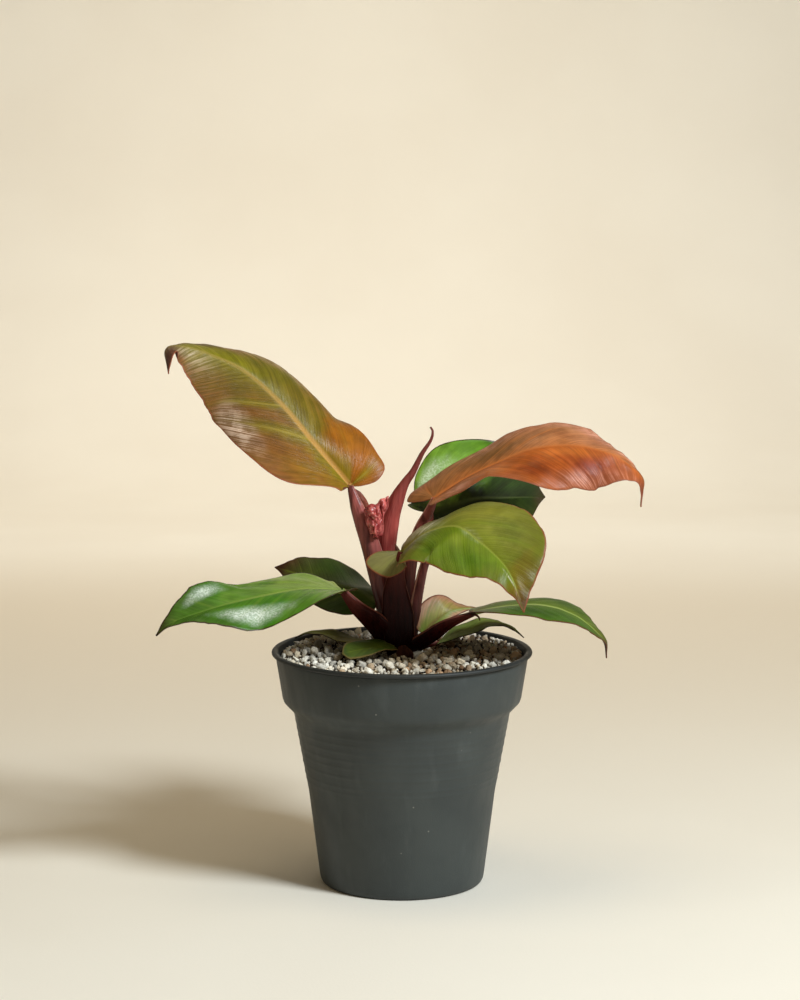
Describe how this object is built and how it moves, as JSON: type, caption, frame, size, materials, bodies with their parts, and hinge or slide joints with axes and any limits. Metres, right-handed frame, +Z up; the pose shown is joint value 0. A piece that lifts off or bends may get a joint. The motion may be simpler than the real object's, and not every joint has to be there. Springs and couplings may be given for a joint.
{
  "type": "potted sun red philodendron",
  "caption": "Young philodendron with broad pointed leaves on sheathed petioles and a rolled new leaf, in a tapered nursery pot with a deep collar and a pumice top dressing.",
  "frame": {"origin": "centre of the pot's underside, on the surface that it stands on", "axes": "+Z up along the pot's axis, the plant's front looks along -Y, +X to the viewer's right"},
  "size_m": [0.2198, 0.1247, 0.2488],
  "materials": {
    "pot": "matt charcoal, moulded",
    "potting_mix": "rough dark bark and peat mix",
    "pumice": "rough porous pale stone",
    "stem": "fleshy dark maroon",
    "petiole": "smooth waxy dark maroon",
    "bronze_leaf": "satin waxy leaf, bronze and olive",
    "copper_leaf": "satin waxy leaf, copper orange",
    "green_leaf": "glossy waxy leaf, fresh green",
    "olive_leaf": "satin waxy leaf, olive green",
    "dark_leaf": "glossy waxy leaf, dark green",
    "new_leaf": "satin red maroon",
    "cataphyll": "soft crumpled pinkish red",
    "dry_sheath": "dry papery brown"
  },
  "bodies": {
    "root": {"pot": "pot", "potting_mix": "potting_mix", "pumice_top_dressing": "pumice", "stem": "stem", "petiole_a": "petiole", "petiole_b": "petiole", "petiole_c": "petiole", "petiole_d": "petiole", "petiole_e": "petiole", "petiole_f": "petiole", "petiole_g": "petiole", "petiole_h": "petiole", "petiole_i": "petiole", "petiole_k": "petiole", "blade_a": "bronze_leaf", "blade_b": "copper_leaf", "blade_c": "green_leaf", "blade_d": "olive_leaf", "blade_e": "green_leaf", "blade_f": "dark_leaf", "blade_g": "green_leaf", "blade_h": "dark_leaf", "blade_i": "olive_leaf", "blade_j": "dark_leaf", "blade_k": "copper_leaf", "new_leaf_spear": "new_leaf", "cataphyll": "cataphyll", "sheath_stub": "dry_sheath"}
  },
  "joints": []
}
